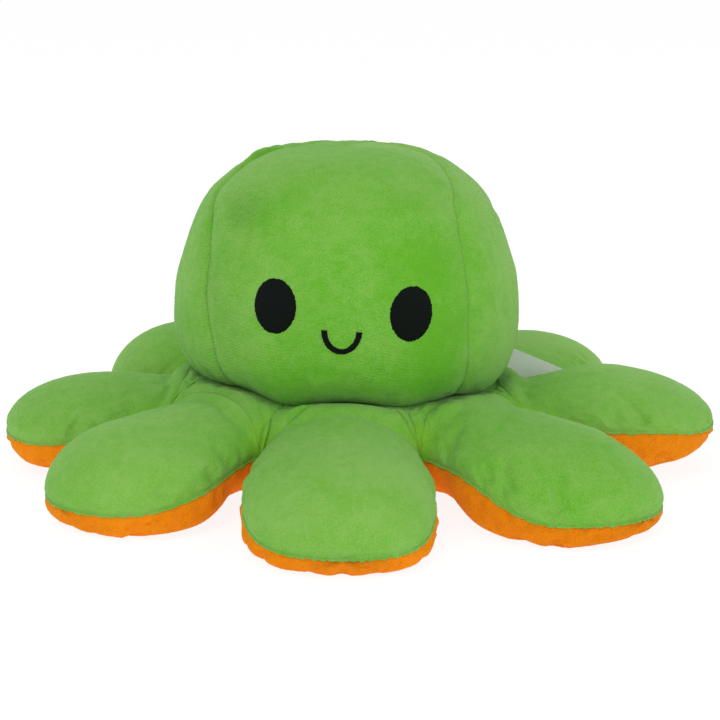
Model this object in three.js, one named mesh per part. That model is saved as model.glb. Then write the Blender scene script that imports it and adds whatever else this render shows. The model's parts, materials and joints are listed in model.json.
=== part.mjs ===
// A small stuffed octopus of the kind that turns inside out. Millimetres, +Z up, face towards -Y.
// A green skin and an orange skin are sewn together with fibre filling between them: over the head
// they make a double wall round an open pocket, and round it they make a flat ring and eight legs.

import * as THREE from "three";
import { mergeVertices } from "three/addons/utils/BufferGeometryUtils.js";

// Cloth and sewing
const skinThickness = 1.2;
const seamGap = 0.3;
const fillClearance = 0.5;

// Head, measured on its outside
const headRadius = 52.5;
const headTopHeight = 97.8;
const neckRadius = 44.8;
const neckHeight = 28;
const goreSeamDepth = 1.5;
const goreSeams = [-55, 45, 130, 220];

// Pocket inside the head, measured on the lining's open side. The walls are padded this thickly.
const sidePadding = 14.7;
const crownPadding = 12.4;
const neckPadding = 10.5;
const pocketRadius = headRadius - sidePadding;
const pocketTopHeight = headTopHeight - crownPadding;
const mouthRadius = neckRadius - neckPadding;
const mouthHeight = 7;

// Ring between the head and the legs, and the crease where each leg bends
const hingeDistance = 57;
const hingeHeight = 24;
const hingeGap = 0.5;
const creaseBottomHeight = 2;
const droopLimit = 12;
const droopSpare = 2;

// Legs. The seam round a leg falls from the crease to the tip, and on some legs it falls further.
const seamHeight = 16.5;
const tipSeamHeight = 10;
const tipSeamRise = 6;
const legReach = 108;
const legWidth = 52.6;
const legCrownHeight = 26.5;
const legCrownRise = 3;
const legSideClearance = 1.75;
const flatCut = 0.5;
const tipSwing = 6;

// Embroidered faces
const stitchThickness = 0.7;
const faceHeight = 57.5;
const faceTilt = 2.9;
const eyeSpacing = 39.4;
const eyeWidth = 12.2;
const eyeHeight = 15.8;
const mouthLineWidth = 10.4;
const mouthLineDepth = 5.7;
const mouthLineDrop = 5.3;
const mouthStroke = 1.6;
const liningFaceHeight = 50;
// The lining is hollow, so its flat facets rise under the stitches, which lie this much higher.
const liningStitchLift = 0.8;

// Label
const labelThickness = 0.5;
const labelLength = 35;
const labelWidth = 14;
const labelSlope = 23;
const labelDirection = 112.5;

// The legs in turn from the front, as seen from above. A leg's reach is a share of legReach, its
// swing is the share of tipSwing that its tip lies to one side, and its rise is the share of
// tipSeamRise that its seam ends higher or lower. A leg whose seam ends higher also stands higher.
const legs = [
  { name: "front", reachShare: 1, swingShare: 0.3, riseShare: -0.6 },
  { name: "front_right", reachShare: 1.035, swingShare: 1, riseShare: -0.4 },
  { name: "right", reachShare: 1.045, swingShare: 0, riseShare: 1 },
  { name: "back_right", reachShare: 1.02, swingShare: 0, riseShare: 0 },
  { name: "back", reachShare: 1, swingShare: 0, riseShare: 0 },
  { name: "back_left", reachShare: 0.965, swingShare: 0, riseShare: 0 },
  { name: "left", reachShare: 0.97, swingShare: 0, riseShare: 0 },
  { name: "front_left", reachShare: 0.97, swingShare: -0.7, riseShare: -0.4 },
];
const sectorAngle = (2 * Math.PI) / legs.length;
const sectorSlope = Math.tan(sectorAngle / 2);

// How finely each surface is divided, and how near two points are one
const mergeDistance = 0.004;
const searchSteps = 40;
const goreColumns = 8;
const goreRows = 12;
const liningLowRows = 2;
const liningHighRows = 7;
const sectorColumns = 6;
const ringRows = 3;
const legColumns = 8;
const legRows = 9;
const legFillingDivisions = 8;
const patchRings = 2;
const patchSides = 20;
const mouthSteps = 14;
const labelFootSteps = 4;

// Finishes
const green = { color: "#5cbb33", roughness: 0.9, metalness: 0 };
const orange = { color: "#f58a12", roughness: 0.9, metalness: 0 };
const fibre = { color: "#f3f1ea", roughness: 1, metalness: 0 };
const thread = { color: "#15171a", roughness: 0.55, metalness: 0 };
const satin = { color: "#eceeee", roughness: 0.4, metalness: 0 };

const radians = THREE.MathUtils.degToRad;
const mix = THREE.MathUtils.lerp;
const smooth = (value) => THREE.MathUtils.smoothstep(value, 0, 1);

// Closed bodies
// A grid is a list of rows of points, with as many points in each row.
function grid(rows, columns, pointAt) {
  return rows.map((row) => columns.map((column) => pointAt(row, column)));
}

function evenShares(count) {
  return Array.from({ length: count + 1 }, (_, i) => i / count);
}

// Shares of a width from -1 to 1, closer together towards both edges.
function widthShares(count) {
  return evenShares(count).map((share) => -Math.cos(Math.PI * share));
}

// The triangles of a sheet. A flipped sheet faces the other way and is cut along the same diagonals.
function sheetCorners({ rows, flipped }) {
  const corners = [];
  for (let i = 0; i + 1 < rows.length; i++) {
    for (let j = 0; j + 1 < rows[i].length; j++) {
      const [a, b] = [rows[i][j], rows[i][j + 1]];
      const [d, c] = [rows[i + 1][j], rows[i + 1][j + 1]];
      if (flipped) corners.push(a, c, b, a, d, c);
      else corners.push(a, b, c, a, c, d);
    }
  }
  return corners;
}

function enclosedVolume(points, index) {
  const [a, b, c] = [new THREE.Vector3(), new THREE.Vector3(), new THREE.Vector3()];
  let sixfold = 0;
  for (let i = 0; i < index.length; i += 3) {
    a.fromBufferAttribute(points, index[i]);
    b.fromBufferAttribute(points, index[i + 1]);
    c.fromBufferAttribute(points, index[i + 2]);
    sixfold += a.dot(b.cross(c));
  }
  return sixfold / 6;
}

// Joins sheets whose edges meet into one closed geometry with its faces outwards.
function closedBody(sheets) {
  const loose = new THREE.BufferGeometry().setFromPoints(sheets.flatMap(sheetCorners));
  const joined = mergeVertices(loose, mergeDistance);
  const corners = joined.index.array;
  const kept = [];
  for (let i = 0; i < corners.length; i += 3) {
    const [a, b, c] = corners.slice(i, i + 3);
    if (a !== b && b !== c && c !== a) kept.push(a, b, c);
  }
  if (enclosedVolume(joined.attributes.position, kept) < 0) kept.reverse();
  joined.setIndex(kept);
  joined.computeVertexNormals();
  return joined;
}

// A skin with an outer and an inner face. Where its columns go all the way round, it has no sides.
function skinBody(outer, inner, goesRound = false) {
  const sheets = [
    { rows: outer },
    { rows: inner, flipped: true },
    { rows: [inner[0], outer[0]] },
    { rows: [outer.at(-1), inner.at(-1)] },
  ];
  if (!goesRound) {
    sheets.push({ rows: outer.map((row, i) => [inner[i][0], row[0]]) });
    sheets.push({ rows: outer.map((row, i) => [row.at(-1), inner[i].at(-1)]) });
  }
  return closedBody(sheets);
}

// Places round the vertical axis: an angle of 0 is straight ahead, and positive is to the +X side.
function around(angle, distance, height) {
  return new THREE.Vector3(distance * Math.sin(angle), -distance * Math.cos(angle), height);
}

// Outlines of the head and of its pocket, from the bottom up to the axis. Each point holds a share
// of the radius and a share of the height.
function profile(radius, bottom, top, shares) {
  const points = shares.map(
    ([radiusShare, heightShare]) =>
      new THREE.Vector2(radius * radiusShare, mix(bottom, top, heightShare)),
  );
  return new THREE.SplineCurve(points);
}

const headProfile = profile(headRadius, neckHeight, headTopHeight, [
  [neckRadius / headRadius, 0],
  [0.93, 0.075],
  [0.983, 0.165],
  [1, 0.27],
  [0.985, 0.43],
  [0.952, 0.525],
  [0.875, 0.69],
  [0.79, 0.8],
  [0.687, 0.876],
  [0.535, 0.95],
  [0.38, 0.985],
  [0.2, 1],
  [0.08, 0.985],
  [0, 0.975],
]);

const pocketProfile = profile(pocketRadius, mouthHeight, pocketTopHeight, [
  [mouthRadius / pocketRadius, 0],
  [0.905, 0.13],
  [0.925, 0.26],
  [0.98, 0.42],
  [1, 0.57],
  [0.95, 0.74],
  [0.78, 0.88],
  [0.5, 0.965],
  [0.2, 0.995],
  [0, 1],
]);

// The share of a profile's length up to which its points pass a test.
function shareUpTo(curve, passes) {
  let [low, high] = [0, 1];
  for (let step = 0; step < searchSteps; step++) {
    const middle = (low + high) / 2;
    if (passes(curve.getPointAt(middle))) low = middle;
    else high = middle;
  }
  return low;
}

const shareAtHeight = (curve, height) => shareUpTo(curve, (at) => at.y < height);

// The points of the gores are gathered round a small hole at the crown.
const crownHoleRadius = 2 * skinThickness;
const shareAtCrown = (curve) => shareUpTo(curve, (at) => at.x > crownHoleRadius);

// Which gore an angle lies in, as a share across it from -1 to 1.
function shareAcrossGore(angle) {
  const turns = goreSeams.map((seam, i) => {
    const next = i + 1 < goreSeams.length ? goreSeams[i + 1] : goreSeams[0] + 360;
    const width = radians(next - seam);
    const past = THREE.MathUtils.euclideanModulo(angle - radians(seam), 2 * Math.PI);
    return past <= width ? (2 * past) / width - 1 : null;
  });
  return turns.find((share) => share !== null) ?? 1;
}

// A point of a profile turned round the axis, moved inwards by an inset. Seams lie in a groove.
const groovePower = 6;
function turnedPoint(curve, seamDepth, angle, share, inset) {
  const at = curve.getPointAt(share);
  const along = curve.getTangentAt(share);
  const radiusShare = at.x / headRadius;
  const groove = seamDepth * radiusShare * Math.abs(shareAcrossGore(angle)) ** groovePower;
  const depth = inset + groove;
  const distance = Math.max(at.x - along.y * depth, 0);
  const height = at.y + along.x * depth;
  return around(angle, distance, height);
}

const headPoint = (angle, share, inset) =>
  turnedPoint(headProfile, goreSeamDepth, angle, share, inset);
const pocketPoint = (angle, share, inset) => turnedPoint(pocketProfile, 0, angle, share, inset);

// The angles of one gore's columns. Next to a seam they stop half a seam gap short.
function goreAngles(index) {
  const start = goreSeams[index];
  const end = index + 1 < goreSeams.length ? goreSeams[index + 1] : goreSeams[0] + 360;
  return evenShares(goreColumns).map((share) => radians(mix(start, end, share)));
}

function seamStep(angles, angle, distance) {
  const side = angle === angles[0] ? 1 : angle === angles.at(-1) ? -1 : 0;
  return (side * seamGap) / 2 / Math.max(distance, seamGap);
}

// Rows of the head and of its lining, as shares of their profiles.
const headCrownShare = shareAtCrown(headProfile);
const headRowShares = evenShares(goreRows).map((share) => share * headCrownShare);
const pocketCrownShare = shareAtCrown(pocketProfile);
const pocketNeckShare = shareAtHeight(pocketProfile, neckHeight);
const pocketHighShares = evenShares(liningHighRows).map((share) =>
  mix(pocketNeckShare, pocketCrownShare, share),
);
const pocketLowShares = evenShares(liningLowRows).map((share) => share * pocketNeckShare);

// The height of a bottom edge, which keeps half a seam gap from the piece sewn below it.
function lifted(point, edgeHeight) {
  point.z = Math.max(point.z, edgeHeight + seamGap / 2);
  return point;
}

function headPanel(index) {
  const angles = goreAngles(index);
  const face = (inset) =>
    grid(headRowShares, angles, (share, angle) => {
      const distance = headProfile.getPointAt(share).x;
      const turned = angle + seamStep(angles, angle, distance);
      return lifted(headPoint(turned, share, inset), neckHeight);
    });
  return skinBody(face(0), face(skinThickness));
}

function liningPanel(index) {
  const angles = goreAngles(index);
  const shares = [...pocketLowShares, ...pocketHighShares.slice(1)];
  const face = (inset) =>
    grid(shares, angles, (share, angle) => {
      const distance = pocketProfile.getPointAt(share).x;
      const turned = angle + seamStep(angles, angle, distance);
      return lifted(pocketPoint(turned, share, inset), mouthHeight);
    });
  return skinBody(face(-skinThickness), face(0));
}

// The filling of the head lies between the panels and the lining, and closes over the pocket.
function headFilling() {
  const angles = goreSeams.flatMap((_, i) => goreAngles(i).slice(0, -1));
  angles.push(angles[0] + 2 * Math.PI);
  const inset = skinThickness + fillClearance;
  const outer = grid([...headRowShares, 1], angles, (share, angle) =>
    lifted(headPoint(angle, share, inset), neckHeight),
  );
  const inner = grid([...pocketHighShares, 1], angles, (share, angle) =>
    lifted(pocketPoint(angle, share, -inset), neckHeight),
  );
  return skinBody(outer, inner, true);
}

// Cross-sections of the ring and of the legs
// Above and below the seam the section is a curve that is highest in the middle of the leg.
const topFullness = 2.1;
const bottomFullness = 2.5;
const legBottomFullness = 4;
const creaseTop = hingeHeight - seamHeight;
const creaseBottom = seamHeight - creaseBottomHeight;

function swell(widthShare, fullness) {
  return (1 - Math.min(Math.abs(widthShare), 1) ** fullness) ** (1 / fullness);
}

// How far the two faces of a crease lean apart, so that a leg can droop.
const creaseLean = Math.tan(radians((droopLimit + droopSpare) / 2));
const creaseOffset = (height) => hingeGap / 2 + Math.max(hingeHeight - height, 0) * creaseLean;

// Columns round the ring: each is a sector, and the share of the sector's half width.
const ringColumns = legs.flatMap((_, sector) =>
  widthShares(sectorColumns)
    .slice(0, -1)
    .map((widthShare) => ({ sector, widthShare })),
);
ringColumns.push({ sector: legs.length, widthShare: -1 });

function ringAngle({ sector, widthShare }) {
  return sector * sectorAngle + Math.atan(widthShare * sectorSlope);
}

// The edge of the ring at one column, on its face at the crease. Between two legs it lies in a
// valley, where a piece further inside ends further back.
const valleyPull = 1.4;
const valleyPower = 4;
function ringEdge({ widthShare }, side, inset, gap) {
  const [rise, fullness] = side > 0 ? [creaseTop, topFullness] : [creaseBottom, bottomFullness];
  const height = seamHeight + side * (gap / 2 + (rise - inset) * swell(widthShare, fullness));
  const forward = hingeDistance - creaseOffset(height) - inset * valleyPull * widthShare ** valleyPower;
  return new THREE.Vector2(forward * Math.hypot(1, widthShare * sectorSlope), height);
}

// The two skins of the ring as curves from the sewn edge at the head out to the crease.
const neckBendShare = 0.6;
const mouthBendShare = 0.12;
const leastValleyShare = 0.92;

function ringTopCurve(column, inset, gap) {
  const end = ringEdge(column, 1, inset, gap);
  const start = new THREE.Vector2(neckRadius, neckHeight - seamGap / 2 - inset);
  const bend = new THREE.Vector2(mix(start.x, end.x, neckBendShare), start.y);
  return new THREE.QuadraticBezierCurve(start, bend, end);
}

function ringBottomCurve(column, inset, gap) {
  const end = ringEdge(column, -1, inset, gap);
  const start = new THREE.Vector2(mouthRadius + inset, mouthHeight - seamGap / 2);
  const depth = Math.max(swell(column.widthShare, bottomFullness), leastValleyShare);
  const bendHeight = seamHeight - creaseBottom * depth + inset;
  const bend = new THREE.Vector2(mix(start.x, end.x, mouthBendShare), bendHeight);
  return new THREE.QuadraticBezierCurve(start, bend, end);
}

function ringSkin(curveOf) {
  const face = (inset) =>
    grid(evenShares(ringRows), ringColumns, (share, column) => {
      const at = curveOf(column, inset, seamGap).getPoint(share);
      return around(ringAngle(column), at.x, at.y);
    });
  return skinBody(face(0), face(skinThickness), true);
}

function ringFilling() {
  const inset = skinThickness + fillClearance;
  const shares = evenShares(ringRows);
  const onColumn = (column, at) => around(ringAngle(column), at.x, at.y);
  const bottomRows = grid(shares, ringColumns, (share, column) =>
    onColumn(column, ringBottomCurve(column, inset, 0).getPoint(share)),
  );
  const wallRows = grid(pocketLowShares.slice(1), ringColumns, (share, column) => {
    const point = pocketPoint(ringAngle(column), share, -inset);
    point.z = Math.min(point.z, neckHeight - seamGap / 2);
    return point;
  });
  const corner = (height) =>
    ringColumns.map((column) => around(ringAngle(column), neckRadius - fillClearance, height));
  const topRows = grid(shares.slice(1), ringColumns, (share, column) =>
    onColumn(column, ringTopCurve(column, inset, 0).getPoint(share)),
  );
  const cornerRows = [
    corner(neckHeight - seamGap / 2),
    corner(neckHeight - seamGap / 2 - inset),
  ];
  return closedBody([
    { rows: bottomRows, flipped: true },
    { rows: [bottomRows[0], ...wallRows, ...cornerRows, ...topRows] },
    { rows: [topRows.at(-1), bottomRows.at(-1)] },
  ]);
}

// Legs
// Distances along a leg start at its hinge. These shares say where its tip begins to round off.
const wideShare = 0.4;
const tipShare = 0.47;
const topTipShare = 0.4;
const bottomTipShare = 0.8;
const tipFullness = 2.3;
const bottomTipFullness = 3;
const crownStartShare = 0.42;
const flatStartShare = 0.28;
const swingPower = 2.5;

const rootHalfWidth = hingeDistance * sectorSlope - legSideClearance;

function rounding(along, length, startShare, fullness) {
  const start = length * startShare;
  const past = THREE.MathUtils.clamp((along - start) / (length - start), 0, 1);
  return (1 - past ** fullness) ** (1 / fullness);
}

// A point on a leg's upper or lower face: how far along, and the share of its half width.
function legPoint(leg, side, inset, gap, along, widthShare) {
  const full = legReach * leg.reachShare - hingeDistance;
  const length = full - inset;
  const widening = smooth(along / (full * wideShare));
  const widest = mix(rootHalfWidth, legWidth / 2, widening) - inset;
  const halfWidth = widest * rounding(along, length, tipShare, tipFullness);
  const tipHeight = tipSeamHeight + tipSeamRise * leg.riseShare;
  const edgeHeight = mix(seamHeight, tipHeight, smooth(along / full));
  const crownHeight = legCrownHeight + legCrownRise * Math.max(leg.riseShare, 0);
  const [root, crown, rise, roundShare, roundness] =
    side > 0
      ? [hingeHeight, crownHeight, crownStartShare, topTipShare, tipFullness]
      : [creaseBottomHeight, seamGap / 2 - flatCut, flatStartShare, bottomTipShare, bottomTipFullness];
  const settled = smooth(along / (full * rise));
  const tallest = side * (mix(root, crown, settled) - edgeHeight) - inset;
  const fullness = side > 0 ? topFullness : mix(bottomFullness, legBottomFullness, settled);
  const swellHeight = tallest * rounding(along, length, roundShare, roundness);
  const height = edgeHeight + side * (gap / 2 + swellHeight * swell(widthShare, fullness));
  const swing = tipSwing * leg.swingShare * Math.max(along / full, 0) ** swingPower;
  return new THREE.Vector3(
    widthShare * halfWidth + swing,
    -(hingeDistance + along),
    Math.max(height, inset),
  );
}

// Where a leg's face starts at its crease, for one share of its width.
function legStart(side, inset, gap, widthShare) {
  const [root, fullness] = side > 0 ? [creaseTop, topFullness] : [creaseBottom, bottomFullness];
  const height = seamHeight + side * (gap / 2 + (root - inset) * swell(widthShare, fullness));
  return creaseOffset(height);
}

function legFace(leg, side, inset, gap, rows = legRows, columns = legColumns) {
  const length = legReach * leg.reachShare - hingeDistance - inset;
  const alongShares = evenShares(rows).map((share) => Math.sin((share * Math.PI) / 2));
  return grid(alongShares, widthShares(columns), (share, widthShare) => {
    const start = legStart(side, inset, gap, widthShare);
    return legPoint(leg, side, inset, gap, mix(start, length, share), widthShare);
  });
}

function legSkin(leg, side) {
  return skinBody(legFace(leg, side, 0, seamGap), legFace(leg, side, skinThickness, seamGap));
}

function legFilling(leg) {
  const inset = skinThickness + fillClearance;
  const counts = [legFillingDivisions, legFillingDivisions];
  const top = legFace(leg, 1, inset, 0, ...counts);
  const bottom = legFace(leg, -1, inset, 0, ...counts);
  return skinBody(top, bottom);
}

// Embroidery
// A point on the front of a surface, measured along the cloth from the middle of the face.
function facePoint(surface, curve, middleHeight, across, up, inset) {
  const turned = new THREE.Vector2(across, up).rotateAround(
    new THREE.Vector2(),
    -radians(faceTilt),
  );
  const middle = shareAtHeight(curve, middleHeight);
  const share = middle + turned.y / curve.getLength();
  return surface(turned.x / curve.getPointAt(share).x, share, inset);
}

// Both faces: the green one looks out of the head, and the orange one looks into the pocket.
const outerFace = (across, up, lift) =>
  facePoint(headPoint, headProfile, faceHeight, across, up, -lift);
const liningFace = (across, up, lift) =>
  facePoint(pocketPoint, pocketProfile, liningFaceHeight, across, up, lift);

function eyePatch(pointOn, side, lift) {
  const rings = evenShares(patchRings);
  const angles = evenShares(patchSides).map((share) => 2 * Math.PI * share);
  const face = (height) =>
    grid(rings, angles, (ring, angle) => {
      const across = (side * eyeSpacing) / 2 + (eyeWidth / 2) * ring * Math.cos(angle);
      const up = (eyeHeight / 2) * ring * Math.sin(angle);
      return pointOn(across, up, height);
    });
  return skinBody(face(lift + stitchThickness), face(lift), true);
}

// A curved line of stitches: it smiles on the outer face and turns down on the lining.
function mouthLine(pointOn, bend, lift) {
  const strokeShares = [-1, 1];
  const face = (height) =>
    grid(evenShares(mouthSteps), strokeShares, (share, strokeShare) => {
      const angle = Math.PI * share;
      const out = (strokeShare * mouthStroke) / 2;
      const across = -(mouthLineWidth / 2 + out) * Math.cos(angle);
      const end = bend > 0 ? mouthLineDrop : mouthLineDrop + mouthLineDepth;
      const up = -end - bend * (mouthLineDepth + out) * Math.sin(angle);
      return pointOn(across, up, height);
    });
  return skinBody(face(lift + stitchThickness), face(lift));
}

// The label stands on edge between two legs, sewn in at the neck. Its corners hold a distance from
// the axis and a height.
const labelRiseShare = 0.4;

function labelPlate() {
  const slope = radians(labelSlope);
  const clear = seamGap + labelThickness;
  const headShare = shareAtHeight(headProfile, neckHeight + labelWidth * labelRiseShare);
  const onHead = headProfile.getPointAt(headShare);
  const top = new THREE.Vector2(onHead.x + clear, onHead.y);
  const farTop = new THREE.Vector2(
    top.x + labelLength * Math.cos(slope),
    top.y - labelLength * Math.sin(slope),
  );
  const farBottom = new THREE.Vector2(
    farTop.x - labelWidth * Math.sin(slope),
    farTop.y - labelWidth * Math.cos(slope),
  );
  const valley = ringTopCurve({ widthShare: 1 }, 0, seamGap);
  const onValley = evenShares(labelFootSteps).map((share) => {
    const at = valley.getPoint(1 - share);
    return new THREE.Vector2(at.x + clear, at.y + clear);
  });
  const outline = new THREE.Shape([top, farTop, farBottom, ...onValley]);
  const plate = new THREE.ExtrudeGeometry(outline, {
    depth: labelThickness,
    bevelEnabled: false,
  });
  plate.translate(0, 0, -labelThickness / 2);
  plate.rotateX(Math.PI / 2);
  plate.deleteAttribute("normal");
  plate.deleteAttribute("uv");
  return mergeVertices(plate, mergeDistance);
}

// Assembly
// The toy is drawn round the head's axis, and stands with the middle of its reach at the origin.
const toy = new THREE.Group();

function add(name, geometry, finish, parent = toy) {
  const mesh = new THREE.Mesh(geometry, new THREE.MeshStandardMaterial(finish));
  mesh.name = name;
  parent.add(mesh);
}

["front", "right", "back", "left"].forEach((place, index) => {
  add(`head_${place}_panel`, headPanel(index), green);
  add(`lining_${place}_panel`, liningPanel(index), orange);
});
add("head_filling", headFilling(), fibre);

add("ring_top", ringSkin(ringTopCurve), green);
add("ring_bottom", ringSkin(ringBottomCurve), orange);
add("ring_filling", ringFilling(), fibre);

legs.forEach((leg, index) => {
  const turned = new THREE.Group();
  turned.rotation.z = index * sectorAngle;
  add(`leg_top_${leg.name}`, legSkin(leg, 1), green, turned);
  add(`leg_bottom_${leg.name}`, legSkin(leg, -1), orange, turned);
  add(`leg_filling_${leg.name}`, legFilling(leg), fibre, turned);
  toy.add(turned);
});

add("eye_left", eyePatch(outerFace, -1, seamGap), thread);
add("eye_right", eyePatch(outerFace, 1, seamGap), thread);
add("mouth", mouthLine(outerFace, 1, seamGap), thread);
add("lining_eye_left", eyePatch(liningFace, -1, liningStitchLift), thread);
add("lining_eye_right", eyePatch(liningFace, 1, liningStitchLift), thread);
add("lining_mouth", mouthLine(liningFace, -1, liningStitchLift), thread);

const labelHolder = new THREE.Group();
labelHolder.rotation.z = radians(labelDirection) - Math.PI / 2;
add("label", labelPlate(), satin, labelHolder);
toy.add(labelHolder);

const reachOf = (name) => legReach * legs.find((leg) => leg.name === name).reachShare;
toy.position.x = (reachOf("left") - reachOf("right")) / 2;
toy.position.y = (reachOf("front") - reachOf("back")) / 2;

const group = new THREE.Group();
group.add(toy);

export default group;
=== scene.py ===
import json
import math
from functools import partial

import bpy
import numpy as np
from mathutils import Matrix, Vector


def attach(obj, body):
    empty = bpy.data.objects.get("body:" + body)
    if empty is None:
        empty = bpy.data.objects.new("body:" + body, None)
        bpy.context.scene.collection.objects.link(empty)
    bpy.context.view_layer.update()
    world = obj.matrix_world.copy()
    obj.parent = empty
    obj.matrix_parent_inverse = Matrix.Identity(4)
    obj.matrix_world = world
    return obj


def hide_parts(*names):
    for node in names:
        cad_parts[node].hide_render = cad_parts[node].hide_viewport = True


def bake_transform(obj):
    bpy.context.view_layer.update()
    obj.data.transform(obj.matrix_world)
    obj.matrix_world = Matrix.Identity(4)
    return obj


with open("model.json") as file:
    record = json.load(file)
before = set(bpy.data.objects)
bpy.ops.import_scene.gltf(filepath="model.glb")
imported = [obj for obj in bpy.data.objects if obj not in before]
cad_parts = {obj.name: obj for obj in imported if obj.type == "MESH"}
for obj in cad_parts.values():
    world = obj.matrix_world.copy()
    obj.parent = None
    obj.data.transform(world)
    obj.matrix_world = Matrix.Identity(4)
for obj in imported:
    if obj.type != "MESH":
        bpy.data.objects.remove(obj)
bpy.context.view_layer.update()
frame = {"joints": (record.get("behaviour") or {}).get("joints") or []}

# Upper skins of the legs and ring: short-pile green plush, cut as one ring round the head and eight
# rounded tongues. Each tongue is sewn to the ring along an arch, and round its edge to an orange
# one. Shapes are in millimetres round the head's axis, and each mesh is made in metres.
MILLIMETRE = 0.001
# Each leg's reach from the axis, how far its tip lies to one side, and the heights of its edge seam
# at the tip, of its top at the root and further out, and of its underside at the tip. The seam
# comes down from the crotch between two shares of the leg's length. Plan and crown are where the
# leg starts to close in to its tip, and how bluntly, as seen from above and from beside. Its arch
# is how far out it is sewn on, from 0 at the neck to 1 at the crotch, at nine places across it.
common_leg = dict(
    swing=0, tip_seam=10, seam_fall=(0, 0.9), root=28, top=27, under=0, plan=(0.47, 2.3),
    crown=(0.4, 2.3), arch=[1, 0.5, 0.28, 0.16, 0.12, 0.16, 0.28, 0.5, 1],
)
own_sizes = {
    "front": dict(
        reach=108.3, swing=2.6, tip_seam=6, seam_fall=(0, 0.95), root=28.3, plan=(0.45, 2.25),
        arch=[1, 0.98, 0.5, 0.14, 0.05, 0.05, 0.05, 0.14, 1],
    ),
    "front_right": dict(
        reach=114.2, swing=4.8, tip_seam=7.6, seam_fall=(0.25, 0.78), plan=(0.4, 2.1),
        crown=(0.4, 2.1), arch=[1, 0.5, 0.28, 0.16, 0.1, 0.1, 0.16, 0.4, 1],
    ),
    "right": dict(
        reach=112.9, tip_seam=14.6, seam_fall=(0.6, 1), root=24.5, top=29.4, under=4,
        crown=(0.36, 1.75),
    ),
    "back_right": dict(reach=110.2),
    "back": dict(reach=108),
    "back_left": dict(reach=102, root=31, top=31),
    "left": dict(
        reach=105.6, tip_seam=11.3, seam_fall=(0, 0.8), root=24.5, top=25.8, under=1.6,
        crown=(0.4, 2.1), arch=[1, 0.6, 0.42, 0.32, 0.3, 0.34, 0.46, 0.64, 1],
    ),
    "front_left": dict(
        reach=104.8, swing=-4.6, tip_seam=7.3, seam_fall=(0, 0.95), plan=(0.4, 2.08),
        crown=(0.4, 2.15), arch=[1, 0.8, 0.68, 0.62, 0.6, 0.62, 0.66, 0.8, 1],
    ),
}
legs = [common_leg | own for own in own_sizes.values()]
leg_names = list(own_sizes)
sector = math.radians(45)
sector_slope = math.tan(sector / 2)
crotch_height = 17
crotch_distance = 54.5
leg_half_width = 26.6
# How far from the crotch line a leg has its full width and its full height.
widening_length = 24
rising_length = 22
neck_radius = 44.8
neck_height = 28
neck_puff = 3
# The height of the neck seam in directions round it, in degrees from straight ahead.
neck_heights = [
    (-180, 28.5), (-120, 28.5), (-90, 29.3), (-61, 30.3), (-38, 31), (-21, 28.6), (-8, 30.2),
    (5, 30.4), (23, 28.2), (35, 28.6), (50, 28.4), (70, 26.4), (95, 26), (120, 28), (150, 28.5),
    (180, 28.5),
]
top_fullness = 2.1
seam_depth = 0.5
width_divisions = 32
length_divisions = 40
path_steps = 120
# Folds pressed into the cloth near the roots, as places seen from above.
root_folds = [
    [(-20.1, -55.8), (-24.9, -52.2), (-28.5, -49.2), (-32.2, -46.5), (-35.5, -41.7)]
    + [(-40.9, -33.9)],
    [(-20.5, -53.9), (-21.7, -49.4), (-23.1, -44.9)],
    [(28.6, -34.4), (26.2, -43.9), (25.6, -48), (25, -51.7), (23.9, -53.4)],
    [(-51.7, -7), (-51.5, -15), (-49.8, -23.6)],
    [(-48.8, -5.3), (-47.6, -16), (-45.2, -26.8)],
]
fold_depth = 0.9
root_fold_width = 1.6
# The crease where the legs' roots meet the ring lies this far out; the painted light of the
# crotches is placed from it.
crease_distance = 57

# Places across a leg from -1 to 1, gathered closely towards both edges, where the cloth turns down,
# and places along it from 0 to 1, closer together towards its tip.
quarter_turn = np.pi / 2
width_shares = np.sin(quarter_turn * np.linspace(-1, 1, width_divisions + 1))
width_shares = np.sin(quarter_turn * width_shares)
length_shares = 1 - (1 - np.linspace(0, 1, length_divisions + 1)) ** 1.5
chance = np.random.default_rng(7)
down = np.array([0, 0, -1.0])
hinges = np.array([joint["pos_m"] for joint in frame["joints"]]) / MILLIMETRE
axis_x = hinges[:, 0].mean()


def smooth(value):
    """Goes gently from 0 to 1 as the value does."""
    value = np.clip(value, 0, 1)
    return value * value * (3 - 2 * value)


def between(value, none, full):
    """0 where the value is at none or before it, 1 at full or past it, and smooth between."""
    return smooth((value - none) / (full - none))


def bell(value, width):
    """1 where the value is 0, and less on both sides of it."""
    return np.exp(-((value / width) ** 2))


def mix(low, high, share):
    return low + (high - low) * share


def swell(width_share, fullness):
    """The height of a rounded cross-section, from 1 in the middle to 0 at both edges."""
    return (1 - np.minimum(np.abs(width_share), 1) ** fullness) ** (1 / fullness)


def rounding(along, length, start_share, fullness):
    """1 up to a share of a leg's length, and then down to 0 at its tip."""
    past = np.clip((along - length * start_share) / (length * (1 - start_share)), 0, 1)
    return (1 - past**fullness) ** (1 / fullness)


def refined(grid, times, axis, closed=False):
    """Adds points between the points of a grid, on smooth curves through them."""
    g = np.moveaxis(grid, axis, 0)
    if closed:
        g = np.concatenate([g[-1:], g, g[:2]])
    else:
        g = np.concatenate([2 * g[:1] - g[1:2], g, 2 * g[-1:] - g[-2:-1]])
    a, b, c, d = g[:-3], g[1:-2], g[2:-1], g[3:]
    fine = []
    for step in range(times):
        t = step / times
        curving = t * (2 * a - 5 * b + 4 * c - d + t * (3 * (b - c) + d - a))
        fine.append(b + 0.5 * t * (c - a + curving))
    fine = np.stack(fine, 1).reshape(-1, *g.shape[1:])
    if not closed:
        fine = np.concatenate([fine, g[-2:-1]])
    return np.moveaxis(fine, 0, axis)


def finer(grid, row_times, column_times, closed=False):
    return refined(refined(grid, row_times, 0), column_times, 1, closed)


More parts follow.
